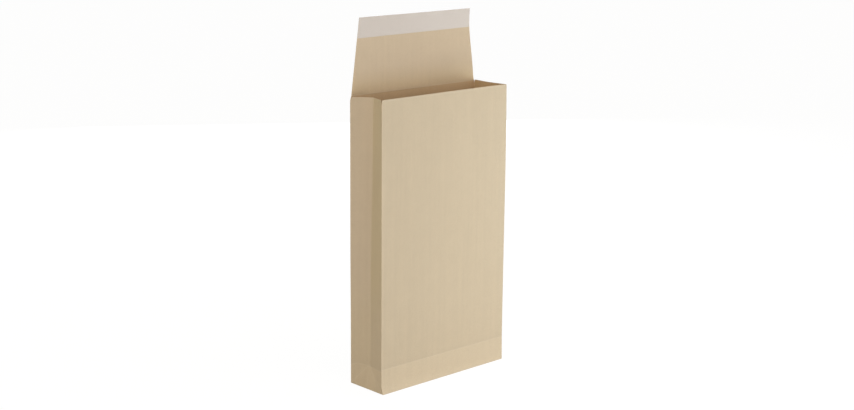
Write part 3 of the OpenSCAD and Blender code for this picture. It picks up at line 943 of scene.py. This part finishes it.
def white_for_the_eye(tree, shaded, white, shade_share):
    """A shader that the camera and mirror reflections see as white with a share of the real
    shading, and that lights the object as it really is."""
    path = put(tree, "LightPath").outputs
    seen = calc(tree, "MAXIMUM", path["Is Camera Ray"],
                calc(tree, "MAXIMUM", path["Is Glossy Ray"], path["Is Transmission Ray"]))
    kind = "Background" if shaded.node.type == "BACKGROUND" else "Emission"
    plain = put(tree, kind, {"Color": (1, 1, 1, 1), "Strength": white}).outputs[0]
    soft = put(tree, "MixShader", {0: shade_share, 1: plain, 2: shaded}).outputs[0]
    return put(tree, "MixShader", {0: seen, 1: shaded, 2: soft}).outputs[0]


# The studio, in metres: the floor and how it and the world look to the eye, as a strength of
# white and a share of the real shading, and the world's own light
FLOOR_HALF, FLOOR_GAP = 9.0, 0.05 * MM
FLOOR_LOOK, WORLD_LOOK = (1.08, 0.12), (1.04, 0.0)
LOBE_DIRECTION, LOBE_POWER = (0, -0.989, 0.148), 1.5
LOBE_COLOUR, EVEN_COLOUR = (1.043, 0.935, 0.911), (0.145, 0.15, 0.123)
LAMP_TARGET = Vector((0, 0, 0.25))


def lay_floor():
    """A wide white floor just under the bottom flap, which keeps a soft shadow."""
    mesh = bpy.data.meshes.new("floor")
    corner = np.array([[-1, -1], [1, -1], [1, 1], [-1, 1]]) * FLOOR_HALF
    mesh.from_pydata(np.column_stack([corner, np.full(4, -FLOOR_GAP)]), [], [(0, 1, 2, 3)])
    floor = bpy.data.objects.new("floor", mesh)
    bpy.context.scene.collection.objects.link(floor)
    material = bpy.data.materials.new("white floor")
    material.use_nodes = True
    tree = material.node_tree
    tree.nodes.remove(tree.nodes["Principled BSDF"])
    diffuse = put(tree, "BsdfDiffuse", {"Color": (0.8, 0.8, 0.8, 1)}).outputs[0]
    tree.links.new(white_for_the_eye(tree, diffuse, *FLOOR_LOOK),
                   tree.nodes["Material Output"].inputs["Surface"])
    mesh.materials.append(material)


def lamp(name, azimuth, distance, height, size, energy, colour):
    """A soft box at an azimuth from +X, turned to the middle of the body."""
    light = bpy.data.lights.new(name, "AREA")
    light.shape = "RECTANGLE"
    light.size, light.size_y = size
    light.energy, light.color = energy, colour
    box = bpy.data.objects.new(name, light)
    angle = math.radians(azimuth)
    box.location = distance * math.cos(angle), distance * math.sin(angle), height
    towards = LAMP_TARGET - box.location
    box.rotation_euler = towards.to_track_quat("-Z", "Y").to_euler()
    bpy.context.scene.collection.objects.link(box)


def light_studio():
    """Low, soft light that is strongest from the front, as a power of the cosine of the angle to
    it, with soft boxes on the right, in front, twice on the left and behind."""
    world = bpy.data.worlds.new("studio")
    world.use_nodes = True
    bpy.context.scene.world = world
    tree = world.node_tree
    direction = put(tree, "TexCoord").outputs["Generated"]
    facing = put(tree, "VectorMath", {0: direction, 1: LOBE_DIRECTION},
                 operation="DOT_PRODUCT").outputs["Value"]
    lobe = calc(tree, "POWER", calc(tree, "MAXIMUM", facing, 0.0), LOBE_POWER)
    lobe = put(tree, "CombineXYZ", {"X": lobe, "Y": lobe, "Z": lobe}).outputs[0]
    light = put(tree, "VectorMath", {0: lobe, 1: LOBE_COLOUR, 2: EVEN_COLOUR},
                operation="MULTIPLY_ADD").outputs[0]
    lit = tree.nodes["Background"]
    tree.links.new(light, lit.inputs["Color"])
    tree.links.new(white_for_the_eye(tree, lit.outputs[0], *WORLD_LOOK),
                   tree.nodes["World Output"].inputs["Surface"])
    lamp("right box", -35, 1.1, 0.25, (0.7, 0.5), 4.4, (0.93, 1.0, 1.01))
    lamp("front box", -84.3, 2.01, 0.35, (1.6, 0.7), 6.0, (0.82, 1.0, 1.18))
    lamp("front left box", -155, 2.2, 0.6, (1.4, 0.7), 3.8, (0.91, 1.0, 0.98))
    lamp("high left box", -175, 2.2, 1.1, (1.4, 0.7), 10.0, (1.18, 1.0, 0.82))
    lamp("back box", 55, 2.2, 0.4, (1.4, 1.0), 28.0, (1.0, 1.0, 1.0))


def set_camera():
    """The photograph's view, from the front left and a little above, turned by a slight roll."""
    place = Vector((-1.5270, -1.6189, 0.7747))
    aim = Vector((0.0, 0.0055, 0.2611))
    roll = math.radians(0.44)
    view = bpy.data.cameras.new("camera")
    view.sensor_width, view.lens = 36.0, 63.97
    view.clip_start, view.clip_end = 0.1, 50.0
    camera = bpy.data.objects.new("camera", view)
    turn = (aim - place).to_track_quat("-Z", "Y").to_matrix().to_4x4()
    camera.matrix_world = Matrix.Translation(place) @ turn @ Matrix.Rotation(roll, 4, "Z")
    bpy.context.scene.collection.objects.link(camera)
    bpy.context.scene.camera = camera


grid, flat, cells, flap = body_grid()
tucks = [tuck_shell(side, front) for side in (-1, 1) for front in (-1, 1)]
lay_mesh("kraft_sheet", join_shells([thin_shell(grid, flat, 0.0, PAPER, cells), *tucks]),
         kraft_paper(), "folded_paper_body")
lay_mesh("glue_strip", flap_film(flap, GLUE_LOW, GLUE_HIGH, PAPER, PAPER, GLUE), glue_film(),
         "adhesive_strip")
liner = flap_film(flap, LINER_LOW, FREE_EDGE, PAPER + LINER_SEAT, PAPER + GLUE, LINER, LINER_TILT)
lay_mesh("peel_off_liner", liner, liner_paper(), "release_liner")
lay_floor()
light_studio()
set_camera()
bpy.context.scene.view_settings.view_transform = "Standard"
